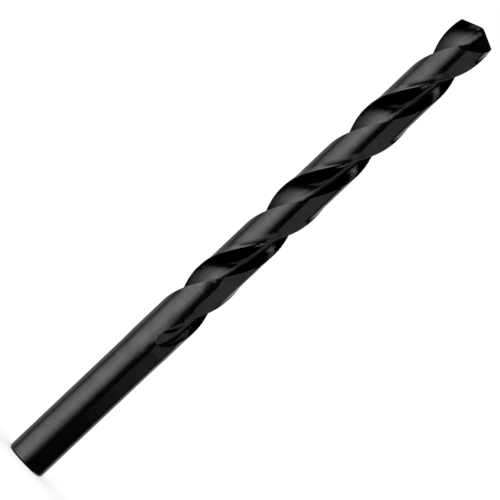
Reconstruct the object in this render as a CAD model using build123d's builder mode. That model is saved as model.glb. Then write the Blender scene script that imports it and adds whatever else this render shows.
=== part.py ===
from build123d import *
from math import asin, atan, cos, degrees, radians, sin, sqrt, tan
import os

# A jobber-length twist drill for metal: one bar of high-speed steel with a plain round shank,
# two right-hand helical flutes, a narrow margin along each cutting edge and a split point.
# The origin is the centre of the shank's flat end, and +Z runs along the axis to the point.

# The bar, in millimetres
overall_length = 120.65
drill_diameter = 8.731
back_taper = 0.0009  # loss of diameter for each millimetre behind the point
shank_diameter = 8.5
shank_chamfer = 0.35
neck_length = 1.5  # full-diameter body between the shank and the end of the flutes
neck_slope_length = 3.0

# The flutes
flute_count = 2
flute_length = 86.5  # from the tip to where the flutes run out
helix_lead = 43.5
flute_width_angle = 87.0  # from a cutting edge forward to the next heel, at the point
web_thickness = 1.25
web_growth = 0.02  # gain in web thickness for each millimetre behind the point
heel_wall_angle = 37.0  # between the flute's wall and the radius at the heel
root_reach = 1.9  # how far the root of the flute sweeps round before it turns out
heel_reach = 2.0
runout_length = 10.0
withdrawal_angle = 60.0  # direction in which the flute wheel leaves the cut, from the edge

# The margins and the relieved lands behind them
margin_width = 0.3
land_relief = 0.31
land_slope_width = 1.6  # behind the margin, where the land curves down to its relieved radius
relief_setback = 12.0  # from the end of the flutes forward to where the relief starts
relief_runout = 4.0
relief_span = 115.0  # turn that the relief covers, from the margin to the flute past the heel

# The point
point_angle = 135.0
lip_relief_angle = 11.5
flank_cone_angle = 30.0
flank_apex_clearance = 2.35  # from the drill's side to the tip of the cone that the flank follows
notch_turn = 28.0  # of the short inner lip, from the main lip
notch_slope = 58.0  # fall of the notch's root below level
notch_opening = 128.0  # between its two walls
notch_reach = 1.8
chisel_half_width = 0.2

# Steps of turn between the sections that shape a flute
section_step = 15.0

drill_radius = drill_diameter / 2
half_web = web_thickness / 2
half_point = radians(point_angle / 2)
flute_end = overall_length - flute_length
body_start = flute_end - neck_length
degrees_per_mm = 360 / helix_lead
over_cut = 1.0  # how far a cutting solid passes the surface that it leaves


def body_radius(height):
    """Radius over the margins: the back taper takes it down towards the shank."""
    return drill_radius - back_taper / 2 * (overall_length - height)


def polar(radius, angle):
    """Point at a radius and an angle in degrees."""
    return Vector(radius * cos(radians(angle)), radius * sin(radians(angle)))


# The lip is a straight line half a web ahead of the axis. Its corner is on the margin.
corner_angle = degrees(asin(half_web / drill_radius))
corner_height = overall_length - drill_radius / tan(half_point)

# Each wheel moves out of its cut along an arc of its own radius.
runout_start = flute_end + runout_length
root_depth = body_radius(flute_end) - half_web - web_growth / 2 * flute_length
wheel_radius = (runout_length**2 + root_depth**2) / (2 * root_depth)
relief_start = flute_end + relief_setback
relief_wheel_radius = (relief_runout**2 + land_relief**2) / (2 * land_relief)

# The slope behind the margin is an arc in the plane through the axis, level with the land at
# its top and running out past the margin at its foot.
slope_rise = degrees(land_slope_width / drill_radius) / degrees_per_mm
slope_top = degrees((margin_width + land_slope_width) / drill_radius) / degrees_per_mm
slope_radius = (slope_rise**2 + land_relief**2) / (2 * land_relief)
slope_fall = sqrt(slope_radius**2 - (slope_radius - land_relief - over_cut) ** 2)


def wheel_withdrawal(height):
    """How far the flute's outline stands out from its place at the point."""
    withdrawal = web_growth / 2 * (overall_length - height)
    if height < runout_start:
        travel = runout_start - height
        withdrawal += wheel_radius - sqrt(wheel_radius**2 - travel**2)
    return withdrawal


def turned_plane(height):
    """Plane square to the axis whose x axis follows the cutting edge round the helix."""
    turn = corner_angle + degrees_per_mm * (height - corner_height)
    return Plane(origin=(0, 0, height), x_dir=polar(1, turn), z_dir=(0, 0, 1))


def face_point(radius):
    """Point of the flute face that makes a straight lip: the lip's own angle at that radius,
    plus the turn of the helix over the lip's fall from there to the corner."""
    reach = sqrt(radius**2 - half_web**2)
    corner_reach = sqrt(drill_radius**2 - half_web**2)
    fall_turn = degrees_per_mm * (reach - corner_reach) / tan(half_point)
    return polar(radius, degrees(asin(half_web / radius)) - corner_angle + fall_turn)


def flute_outline(height):
    """Flute cutter's outline at a height, in three runs of points: the face behind the cutting
    edge, the root and wall out to the heel, and the closing run outside the bar."""
    outside = drill_radius + over_cut
    far_outside = 2 * drill_radius
    face_start = face_point(outside)
    face_end = face_point(half_web)
    face_heading = (face_point(drill_radius) - face_start).normalized()
    root_heading = Vector(-face_end.Y, face_end.X).normalized()
    face_handle = (face_end - face_start).length / 3
    heel = polar(drill_radius - land_relief, flute_width_angle)
    wall_heading = polar(1, flute_width_angle - heel_wall_angle)
    wall_end = heel + wall_heading * (over_cut + land_relief)
    face = [
        face_start,
        face_start + face_heading * face_handle,
        face_end - root_heading * face_handle,
        face_end,
    ]
    wall = [
        face_end,
        face_end + root_heading * root_reach,
        wall_end - wall_heading * heel_reach,
        wall_end,
    ]
    closing = [
        wall_end,
        polar(far_outside, 105),
        polar(far_outside, 45),
        polar(far_outside, -15),
        face_start,
    ]
    shift = polar(wheel_withdrawal(height), withdrawal_angle)
    return [[point + shift for point in run] for run in (face, wall, closing)]


def edge_lead(height):
    """How far the cutting edge has moved ahead of the helix as the flute narrows, in degrees."""
    return degrees(asin(wheel_withdrawal(height) * sin(radians(withdrawal_angle)) / drill_radius))


def relief_section(height):
    """Plane through the axis and the cutting edge at a height, and the relief's corners in it:
    inner and outer radius, foot and top of the curved slope, and far end. The land lies above
    the edge there."""
    turn = corner_angle + degrees_per_mm * (height - corner_height) + edge_lead(height)
    plane = Plane(origin=(0, 0, height), x_dir=polar(1, turn), z_dir=polar(1, turn - 90))
    inner = drill_radius - land_relief
    if height < relief_start + relief_runout:
        travel = relief_start + relief_runout - height
        inner += relief_wheel_radius - sqrt(relief_wheel_radius**2 - travel**2)
    outer = inner + land_relief + over_cut
    return plane, inner, outer, slope_top - slope_fall, slope_top, relief_span / degrees_per_mm


def cone_height(tip, axis):
    """Height at which the drill's own axis leaves the flank's cone with this tip and axis."""
    spread = cos(radians(flank_cone_angle)) ** 2
    across = -axis.X * tip.X - axis.Y * tip.Y
    square = axis.Z**2 - spread
    half_linear = axis.Z * across
    constant = across**2 - spread * (tip.X**2 + tip.Y**2)
    return tip.Z + constant / (sqrt(half_linear**2 - square * constant) - half_linear)


def heights_between(low, high):
    """Evenly spaced heights, no further apart than one step of turn."""
    steps = int((high - low) * degrees_per_mm / section_step) + 1
    return [low + (high - low) * step / steps for step in range(steps + 1)]


# One flute cutter, carried along the helix
with BuildPart() as flute_cutter:
    for height in heights_between(flute_end - over_cut, overall_length + over_cut):
        face, wall, closing = flute_outline(height)
        with BuildSketch(turned_plane(height)):
            with BuildLine():
                Bezier(*face)
                Bezier(*wall)
                Polyline(*closing)
            make_face()
    loft()

# One relief cutter: it lowers the land behind the margin and follows the same helix
with BuildPart() as relief_cutter:
    for height in heights_between(relief_start - over_cut, overall_length + over_cut):
        plane, inner, outer, foot, top, end = relief_section(height)
        with BuildSketch(plane):
            with BuildLine():
                TangentArc((inner, top), (outer, foot), tangent=(0, -1))
                Polyline((outer, foot), (outer, end), (inner, end), (inner, top))
            make_face()
    loft()

# The cone that a flank follows: its tip lies on the line of the lip, past the far side
lip_direction = Vector(sin(half_point), 0, -cos(half_point))
lip_foot = Vector(0, half_web, 0)
apex_offset = -lip_direction * ((drill_radius + flank_apex_clearance) / sin(half_point)) + lip_foot
cone_turn = half_point - radians(flank_cone_angle)
level_axis = Vector(sin(cone_turn), 0, -cos(cone_turn))
cone_axis = level_axis.rotate(Axis((0, 0, 0), lip_direction), lip_relief_angle)
flank_apex = apex_offset + Vector(0, 0, overall_length - cone_height(apex_offset, cone_axis))
cone_length = 6 * drill_diameter
with BuildPart() as flank_cone:
    with BuildSketch(Plane(origin=flank_apex, x_dir=cone_axis, z_dir=lip_direction.cross(cone_axis))):
        with BuildLine():
            Polyline(
                (0, 0),
                (cone_length, 0),
                (cone_length, cone_length * tan(radians(flank_cone_angle))),
                close=True,
            )
        make_face()
    revolve(axis=Axis(flank_apex, cone_axis))

# What is ground away above one flank, on its own side of the chisel edge
chisel_angle = degrees(atan(1 / (sin(radians(lip_relief_angle)) * tan(half_point))))
with BuildPart() as flank_waste:
    waste_plane = Plane(
        origin=(0, 0, overall_length - 2 * drill_diameter),
        x_dir=polar(1, chisel_angle - 90),
        z_dir=(0, 0, 1),
    )
    with BuildSketch(waste_plane):
        with Locations((drill_radius, 0)):
            Rectangle(drill_diameter + 2 * over_cut, 2 * drill_diameter)
    extrude(amount=2 * drill_diameter + 2 * over_cut)
    add(flank_cone.part, mode=Mode.SUBTRACT)

# The notch that splits the point: a wedge with one upright wall, which makes the short inner
# lip, and one sloping wall across the back of the other land
notch_level = polar(1, notch_turn)
notch_root = notch_level * cos(radians(notch_slope)) - Vector(0, 0, sin(radians(notch_slope)))
notch_up = notch_level * sin(radians(notch_slope)) + Vector(0, 0, cos(radians(notch_slope)))
notch_start = Vector(*polar(chisel_half_width, chisel_angle)) + Vector(0, 0, overall_length)
with BuildPart() as notch_cutter:
    notch_plane = Plane(origin=notch_start, x_dir=notch_up, z_dir=-notch_root)
    with BuildSketch(notch_plane):
        with BuildLine():
            Polyline(
                (0, 0),
                (notch_reach, 0),
                (notch_reach, notch_reach),
                (notch_reach * cos(radians(notch_opening)), notch_reach * sin(radians(notch_opening))),
                close=True,
            )
        make_face()
    extrude(amount=notch_reach, both=True)

# The drill itself, cut from a bar a little longer than the finished drill
blank_length = overall_length + over_cut
with BuildPart() as twist_drill:
    with BuildSketch(Plane.XZ):
        with BuildLine():
            Polyline(
                (0, 0),
                (shank_diameter / 2 - shank_chamfer, 0),
                (shank_diameter / 2, shank_chamfer),
                (shank_diameter / 2, body_start - neck_slope_length),
                (body_radius(body_start), body_start),
                (body_radius(blank_length), blank_length),
                (0, blank_length),
                close=True,
            )
        make_face()
    revolve(axis=Axis.Z)
    for cutter in (flute_cutter, relief_cutter, flank_waste, notch_cutter):
        for flute in range(flute_count):
            add(cutter.part, rotation=(0, 0, 360 / flute_count * flute), mode=Mode.SUBTRACT)

twist_drill.part.label = "twist_drill"
os.makedirs("parts", exist_ok=True)
export_step(twist_drill.part, "parts/twist_drill.step")
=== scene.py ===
from math import cos, pi, radians, sin

import bpy
import numpy as np
from mathutils import Matrix, Vector


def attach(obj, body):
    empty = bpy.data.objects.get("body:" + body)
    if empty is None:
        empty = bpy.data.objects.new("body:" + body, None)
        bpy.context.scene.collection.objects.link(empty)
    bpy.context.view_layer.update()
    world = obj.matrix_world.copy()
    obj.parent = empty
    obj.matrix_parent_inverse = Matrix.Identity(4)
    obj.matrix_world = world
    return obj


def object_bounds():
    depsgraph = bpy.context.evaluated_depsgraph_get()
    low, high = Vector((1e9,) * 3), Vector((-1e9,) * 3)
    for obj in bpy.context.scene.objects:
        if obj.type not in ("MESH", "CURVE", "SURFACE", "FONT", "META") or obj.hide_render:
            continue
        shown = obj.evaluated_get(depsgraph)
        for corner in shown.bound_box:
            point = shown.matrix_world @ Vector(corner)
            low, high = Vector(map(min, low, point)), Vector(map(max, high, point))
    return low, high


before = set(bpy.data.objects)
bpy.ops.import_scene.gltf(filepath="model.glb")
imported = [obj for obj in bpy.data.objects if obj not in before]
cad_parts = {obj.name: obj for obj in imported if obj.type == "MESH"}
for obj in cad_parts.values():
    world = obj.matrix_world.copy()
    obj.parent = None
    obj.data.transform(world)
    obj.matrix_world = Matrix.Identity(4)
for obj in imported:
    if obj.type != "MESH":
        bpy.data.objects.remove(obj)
cad_low, cad_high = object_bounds()
drill_length = cad_high[2] - cad_low[2]

# The camera: a long lens at the drill's own height, almost level, and rolled so that the
# upright drill runs from the lower left of the frame to the upper right.
azimuth = radians(-15.3)
elevation = radians(4)
axis_tilt = radians(43.42)
frame_width = 0.09546
camera_distance = 1.5
aim_height = drill_length * 0.4914
aim_shift = 0.00019
towards_camera = Vector((sin(azimuth) * cos(elevation), -cos(azimuth) * cos(elevation), sin(elevation)))
level_right = Vector((cos(azimuth), sin(azimuth), 0))
level_up = towards_camera.cross(level_right)
right = level_up * cos(axis_tilt) + level_right * sin(axis_tilt)
up = level_up * sin(axis_tilt) - level_right * cos(axis_tilt)
aim = Vector((0, 0, aim_height)) + level_right * aim_shift
camera_data = bpy.data.cameras.new("camera")
camera_data.sensor_width = 36
camera_data.lens = camera_data.sensor_width * camera_distance / frame_width
camera_data.clip_end = 50
camera = bpy.data.objects.new("camera", camera_data)
turn = Matrix((right, up, towards_camera)).transposed()
camera.matrix_world = Matrix.Translation(aim + towards_camera * camera_distance) @ turn.to_4x4()
bpy.context.scene.collection.objects.link(camera)
bpy.context.scene.camera = camera
bpy.context.scene.view_settings.view_transform = "Standard"

# The surroundings: an even white studio. It is a full white to whatever looks at it, and
# lights the floor and the drill a little below that.
studio_white = 1.0
studio_light = 0.8


def node_adder(tree):
    """Function that adds a node of a kind, sets its properties, and sets or links its inputs."""

    def add(kind, inputs=None, **properties):
        node = tree.nodes.new(kind)
        for key, value in properties.items():
            setattr(node, key, value)
        for key, value in (inputs or {}).items():
            if isinstance(value, bpy.types.NodeSocket):
                tree.links.new(value, node.inputs[key])
            else:
                node.inputs[key].default_value = value
        return node

    return add


def calculated(add, operation, *values):
    """Result of one step of arithmetic on numbers or sockets."""
    return add("ShaderNodeMath", dict(enumerate(values)), operation=operation).outputs["Value"]


def spread(add, value, start, end, first=0.0, last=1.0):
    """A value between start and end, spread evenly from first to last and held there beyond them."""
    ends = {"From Min": start, "From Max": end, "To Min": first, "To Max": last}
    return add("ShaderNodeMapRange", {"Value": value, **ends}).outputs["Result"]


def looked_at(add):
    """1 where the camera, a reflection or a view through glass looks at a surface, and 0 where it
    only lights others."""
    path = add("ShaderNodeLightPath").outputs
    reflected = calculated(add, "MAXIMUM", path["Is Camera Ray"], path["Is Glossy Ray"])
    return calculated(add, "MAXIMUM", reflected, path["Is Transmission Ray"])


world = bpy.data.worlds.new("white studio")
bpy.context.scene.world = world
world.use_nodes = True
world.node_tree.nodes.clear()
add = node_adder(world.node_tree)
strength = spread(add, looked_at(add), 0.0, 1.0, studio_light, studio_white)
sky = add("ShaderNodeBackground", {"Color": (1, 1, 1, 1), "Strength": strength})
add("ShaderNodeOutputWorld", {"Surface": sky.outputs[0]})

# The floor: a wide matt white sweep that the drill stands on. Its own faint glow, which lights
# nothing else, keeps it as white as the studio, and the drill's shadow stays on it.
floor_width = 8
floor_white = (0.8, 0.8, 0.8, 1)
floor_glow = 0.4


def new_material(name):
    """Material with an empty node tree, and the function that adds a node to it."""
    material = bpy.data.materials.new(name)
    material.use_nodes = True
    material.node_tree.nodes.clear()
    return material, node_adder(material.node_tree)


bpy.ops.mesh.primitive_plane_add(size=floor_width, location=(0, 0, 0))
floor = bpy.context.object
floor.name = "floor"
floor.visible_glossy = False
floor_material, add = new_material("white sweep")
glow = calculated(add, "MULTIPLY", looked_at(add), floor_glow)
matt = add("ShaderNodeBsdfDiffuse", {"Color": floor_white})
light = add("ShaderNodeEmission", {"Color": (1, 1, 1, 1), "Strength": glow})
both = add("ShaderNodeAddShader", {0: matt.outputs[0], 1: light.outputs[0]})
add("ShaderNodeOutputMaterial", {"Surface": both.outputs[0]})
floor.data.materials.append(floor_material)

# The tent: a dark shell far round the stage that the metal sees in place of the studio, painted
# with soft panels of light, by degrees round to the right of the camera's side and by degrees of
# rise. Its strip on the right lights only what is reflected twice, which happens in the flutes.
tent_radius = 3
tent_dark = 0.01
tent_panels = {
    "window": (
        (
            (-180, 0.5), (-150, 0.35), (-124, 0.35), (-105, 0.14), (-95, 0.35), (-85, 0.67), (-68, 0.9),
            (-45, 1.08), (-35, 1.03), (-25, 0.88), (-15, 0.6), (-5, 0.3), (3, 0.06), (9, 0),
        ),
        ((-34, 0), (-12, 0.95), (-6, 1), (4, 0.97), (8, 0.65), (12, 0.3), (16, 0)),
    ),
    "window below": (
        (
            (-104, 0.1), (-86, 0.35), (-70, 0.6), (-52, 0.9), (-38, 1), (-10, 0.9), (0, 0.5), (8, 0.25),
            (18, 0),
        ),
        ((-60, 0), (-52, 0.18), (-44, 0.36), (-34, 0.54), (-22, 0.76), (-15, 0.95), (-11, 0.8), (-7, 0)),
    ),
    "window above": (
        ((-150, 0), (-130, 0.45), (-115, 0.7), (-102, 1.15), (-88, 1.15), (-80, 0.4), (-72, 0)),
        ((0, 0), (4, 0.5), (8, 1), (12, 1), (15, 0)),
    ),
    "gap in the front": (
        ((-12, 0), (-2, 0.3), (6, 0.24), (24, 0.14), (40, 0.08), (54, 0)),
        ((1, 0), (6, 1), (17, 0.8), (24, 0)),
    ),
    "back": (
        ((118, 0), (145, 0.5), (180, 0.5)),
        ((-62, 0), (-42, 0.55), (-10, 1), (3, 1), (8, 0)),
    ),
}
strip_panel = (
    ((62, 0), (70, 0.7), (77, 1), (86, 0.8), (94, 0)),
    ((-8, 0), (0, 0.8), (9, 1), (15, 0.35), (30, 0.2), (40, 0)),
)
strip_strength = 6.0
once_reflected = 1.5  # the depth of a ray that was reflected once is 1, and inside a flute it is 2 or more


def combined(add, operation, *values):
    """Result of one step of arithmetic on vectors or sockets."""
    return add("ShaderNodeVectorMath", dict(enumerate(values)), operation=operation).outputs["Vector"]


def direction_angles(add):
    """Degrees round from the camera's side to its right, and degrees above the level, of a point
    seen from its object's origin."""
    place = add("ShaderNodeTexCoord").outputs["Object"]
    ray = combined(add, "NORMALIZE", place)
    front, beside = (
        add("ShaderNodeVectorMath", {0: ray, 1: side}, operation="DOT_PRODUCT").outputs["Value"]
        for side in ((sin(azimuth), -cos(azimuth), 0), (cos(azimuth), sin(azimuth), 0))
    )
    height = add("ShaderNodeSeparateXYZ", {"Vector": ray}).outputs["Z"]
    around = calculated(add, "DEGREES", calculated(add, "ARCTAN2", beside, front))
    rise = calculated(add, "DEGREES", calculated(add, "ARCSINE", height))
    return around, rise


def curve(add, angle, stops):
    """Brightness by an angle, eased through (degrees, brightness) stops."""
    low, high = stops[0][0], stops[-1][0]
    node = add("ShaderNodeValToRGB", {"Fac": spread(add, angle, low, high)})
    node.color_ramp.interpolation = "EASE"
    elements = node.color_ramp.elements
    while len(elements) < len(stops):
        elements.new(0.5)
    for element, (degrees_round, brightness) in zip(elements, stops):
        element.position = (degrees_round - low) / (high - low)
        element.color = (brightness, brightness, brightness, 1)
    return node.outputs["Color"]


def panel(add, around, rise, across_stops, up_stops):
    """Brightness of a panel: its curve by degrees round, times its curve by degrees of rise."""
    return combined(add, "MULTIPLY", curve(add, around, across_stops), curve(add, rise, up_stops))


def show_to_metal_only(piece):
    """Hide a piece of the stage from the camera and from matt surfaces, with no shadow of its own."""
    piece.visible_camera = False
    piece.visible_diffuse = False
    piece.visible_shadow = False


bpy.ops.mesh.primitive_uv_sphere_add(
    segments=96, ring_count=48, radius=tent_radius, location=(0, 0, drill_length / 2)
)
tent = bpy.context.object
tent.name = "tent"
show_to_metal_only(tent)
tent_material, add = new_material("tent panels")
tent_material.cycles.emission_sampling = "NONE"
around, rise = direction_angles(add)
total = combined(add, "MAXIMUM", (tent_dark, tent_dark, tent_dark))
for across_stops, up_stops in tent_panels.values():
    total = combined(add, "MAXIMUM", total, panel(add, around, rise, across_stops, up_stops))
bounces = add("ShaderNodeLightPath").outputs["Ray Depth"]
direct = calculated(add, "LESS_THAN", bounces, once_reflected)
light = add("ShaderNodeEmission", {"Color": total, "Strength": direct})
within_flute = calculated(add, "GREATER_THAN", bounces, once_reflected)
within_flute = calculated(add, "MULTIPLY", within_flute, strip_strength)
strip = panel(add, around, rise, *strip_panel)
strip = add("ShaderNodeEmission", {"Color": strip, "Strength": within_flute})
light = add("ShaderNodeAddShader", {0: light.outputs[0], 1: strip.outputs[0]})
add("ShaderNodeOutputMaterial", {"Surface": light.outputs[0]})
tent.data.materials.append(tent_material)

# The side card: a dim grey curved card close on the right, beside the drill. It gives the dark
# side of the lands and shank a faint sheen that fades towards the floor, and it is clear to the
# tent's strip, which shines through it into the flutes.
card_radius = 0.15
card_left, card_right = radians(32), radians(112)
card_bottom, card_top = 0.001, 0.2
card_grey = (0.18, 0.18, 0.18, 1)
fade_height = 0.034
faded_strength = 0.12
turns, levels = np.meshgrid(
    azimuth + np.linspace(card_left, card_right, 41), np.array([card_bottom, card_top])
)
card = np.stack([card_radius * np.sin(turns), -card_radius * np.cos(turns), levels], axis=-1)
index = np.arange(turns.size).reshape(turns.shape)
quads = np.stack([index[0, :-1], index[1, :-1], index[1, 1:], index[0, 1:]], axis=-1)
card_mesh = bpy.data.meshes.new("side card")
card_mesh.from_pydata(card.reshape(-1, 3).tolist(), [], quads.tolist())
side_card = bpy.data.objects.new("side card", card_mesh)
bpy.context.scene.collection.objects.link(side_card)
show_to_metal_only(side_card)
card_material, add = new_material("grey card")
card_material.cycles.emission_sampling = "NONE"
place = add("ShaderNodeTexCoord").outputs["Object"]
height = add("ShaderNodeSeparateXYZ", {"Vector": place}).outputs["Z"]
fade = spread(add, height, 0.0, fade_height, faded_strength, 1.0)
light = add("ShaderNodeEmission", {"Color": card_grey, "Strength": fade})
clear = add("ShaderNodeBsdfTransparent")
bounces = add("ShaderNodeLightPath").outputs["Ray Depth"]
within_flute = calculated(add, "GREATER_THAN", bounces, once_reflected)
light = add("ShaderNodeMixShader", {"Fac": within_flute, 1: light.outputs[0], 2: clear.outputs[0]})
add("ShaderNodeOutputMaterial", {"Surface": light.outputs[0]})
card_mesh.materials.append(card_material)

# The drill: ground high-speed steel under a black oxide. The wheels left fine lines round the
# shank and lands and along the flutes; the oxide is cloudy, and paler on the margins, where it
# rubs off first, and handling has left a few light scratches.
helix_lead = 0.0435
flute_edge = (0.00398, 0.00404)
margin_edge = (0.0043, 0.004345)
dark_oxide, pale_oxide = (0.1, 0.109, 0.106, 1), (0.142, 0.146, 0.143, 1)
polish = (0.1, 0.16)
margin_wear = 1.25
scratch_wear = 1.3
lines_along_flute = (9000, 9000, 160)
lines_round_bar = (500, 500, 16000)
scratch_lines = (260, 5200, 5200)
scratch_axis, scratch_turn = (0.6, 0.7, 0.4), 0.7
cloud_scale, speck_scale = 420.0, 2600.0
line_bump, line_depth = 0.25, 0.00001


def noise(add, vector, scale, detail, roughness):
    """Cloudy noise over a vector, mostly between 0.3 and 0.7."""
    settings = {"Scale": scale, "Detail": detail, "Roughness": roughness}
    return add("ShaderNodeTexNoise", {"Vector": vector, **settings}).outputs["Fac"]


oxide, add = new_material("black_oxide_steel")
position = add("ShaderNodeTexCoord").outputs["Object"]
split = add("ShaderNodeSeparateXYZ", {"Vector": position}).outputs
flat = add("ShaderNodeCombineXYZ", {"X": split["X"], "Y": split["Y"], "Z": 0.0}).outputs[0]
radius = add("ShaderNodeVectorMath", {0: flat}, operation="LENGTH").outputs["Value"]

in_flute = spread(add, radius, *flute_edge, 1.0, 0.0)
twist = calculated(add, "MULTIPLY", split["Z"], -2 * pi / helix_lead)
unwound = add("ShaderNodeVectorRotate", {"Vector": position, "Angle": twist}, rotation_type="Z_AXIS")
along_flute = combined(add, "MULTIPLY", unwound.outputs[0], lines_along_flute)
round_bar = combined(add, "MULTIPLY", position, lines_round_bar)
flute_lines = noise(add, along_flute, 1.0, 3.0, 0.6)
bar_lines = noise(add, round_bar, 1.0, 3.0, 0.6)
lines = add("ShaderNodeMix", {"Factor": in_flute, "A": bar_lines, "B": flute_lines}, data_type="FLOAT")
lines = lines.outputs[0]

clouds = noise(add, position, cloud_scale, 5.0, 0.62)
cloud_tone = spread(add, clouds, 0.3, 0.7)
steel = add(
    "ShaderNodeMix", {"Factor": cloud_tone, "A": dark_oxide, "B": pale_oxide}, data_type="RGBA"
).outputs["Result"]

specks = noise(add, position, speck_scale, 4.0, 0.7)
slanted = add("ShaderNodeVectorRotate", {"Vector": position, "Axis": scratch_axis, "Angle": scratch_turn})
slanted = combined(add, "MULTIPLY", slanted.outputs[0], scratch_lines)
scratches = noise(add, slanted, 1.0, 2.0, 0.5)
tone = spread(add, specks, 0.35, 0.75, 0.88, 1.12)
for wear in (
    spread(add, lines, 0.3, 0.7, 0.94, 1.06),
    spread(add, scratches, 0.66, 0.74, 1.0, scratch_wear),
    spread(add, radius, *margin_edge, 1.0, margin_wear),
):
    tone = calculated(add, "MULTIPLY", tone, wear)
colour = add("ShaderNodeVectorMath", {0: steel, "Scale": tone}, operation="SCALE").outputs[0]

rough = spread(add, clouds, 0.3, 0.7, *polish)
grain = add("ShaderNodeBump", {"Height": lines, "Strength": line_bump, "Distance": line_depth})
surface = add(
    "ShaderNodeBsdfPrincipled",
    {"Base Color": colour, "Metallic": 1.0, "Roughness": rough, "Normal": grain.outputs[0]},
)
add("ShaderNodeOutputMaterial", {"Surface": surface.outputs[0]})
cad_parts["twist_drill"].material_slots[0].material = oxide

# The lands behind the point: the last stretch of the two ground margins and of the curved slopes
# behind them, in the same blackened steel. They are part of the drill's own body, and run on
# unbroken to where the point grinding begins.
land_start, land_end = drill_length - 0.01775, drill_length - 0.01445
land_width = radians(46)
tip_radius = 0.0043655
taper = 0.00045
relief = 0.00031
margin_turn = radians(3.94)
slope_turn = radians(21)
edge_height = drill_length - 0.0175
edge_turn = radians(107.18)
edge_drift = radians(98.5)
edge_setback = radians(0.2)
inner_radius = 0.0036
skin = 0.000004
crease = radians(35)


def land_surface(heights, turns):
    """Radius of a land at a height, by the turn from its cutting edge towards its heel: the tapered
    bar's on the margin, and past it an arc that falls by the relief and ends level. All of it lies a
    skin's thickness outside the bar."""
    reach = slope_turn * helix_lead / (2 * np.pi)
    arc_radius = (reach**2 + relief**2) / (2 * relief)
    along = np.clip((margin_turn + slope_turn - turns) * helix_lead / (2 * np.pi), 0, None)
    slope = tip_radius - relief + arc_radius - np.sqrt(arc_radius**2 - along**2)
    return np.minimum(slope, tip_radius - taper * (drill_length - heights)) + skin


def land_sections(first_turns, heights):
    """Corners of each land's sections: the land from its heel to its edge, then two corners within
    the steel. The cutting edge turns with the helix and drifts a little from it as the web grows."""
    on_slope = np.linspace(land_width, margin_turn, 32)
    turns = np.concatenate([on_slope, np.linspace(margin_turn, 0, 3)[1:]])
    edges = first_turns + edge_turn - edge_drift * (heights - edge_height) + 2 * np.pi * heights / helix_lead
    outside = land_surface(heights, turns + edge_setback)
    inside = np.full((len(heights), 2), inner_radius)
    radii = np.concatenate([outside, inside], axis=1)
    angles = edges - np.concatenate([turns, [0, land_width]])
    return np.stack(np.broadcast_arrays(radii * np.cos(angles), radii * np.sin(angles), heights), axis=-1)


sections = land_sections(np.array([0, np.pi])[:, None, None], np.linspace(land_start, land_end, 30)[:, None])
index = np.arange(sections[..., 0].size).reshape(sections.shape[:3])
ahead = np.roll(index, -1, axis=2)
walls = np.stack([index[:, :-1], ahead[:, :-1], ahead[:, 1:], index[:, 1:]], axis=-1).reshape(-1, 4)
ends = [*index[:, 0, ::-1].tolist(), *index[:, -1].tolist()]
lands_mesh = bpy.data.meshes.new("lands behind the point")
lands_mesh.from_pydata(sections.reshape(-1, 3).tolist(), [], walls.tolist() + ends)
lands_mesh.shade_smooth()
lands_mesh.set_sharp_from_angle(angle=crease)
lands = bpy.data.objects.new("lands_behind_point", lands_mesh)
bpy.context.scene.collection.objects.link(lands)
lands_mesh.materials.append(oxide)
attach(lands, "root")
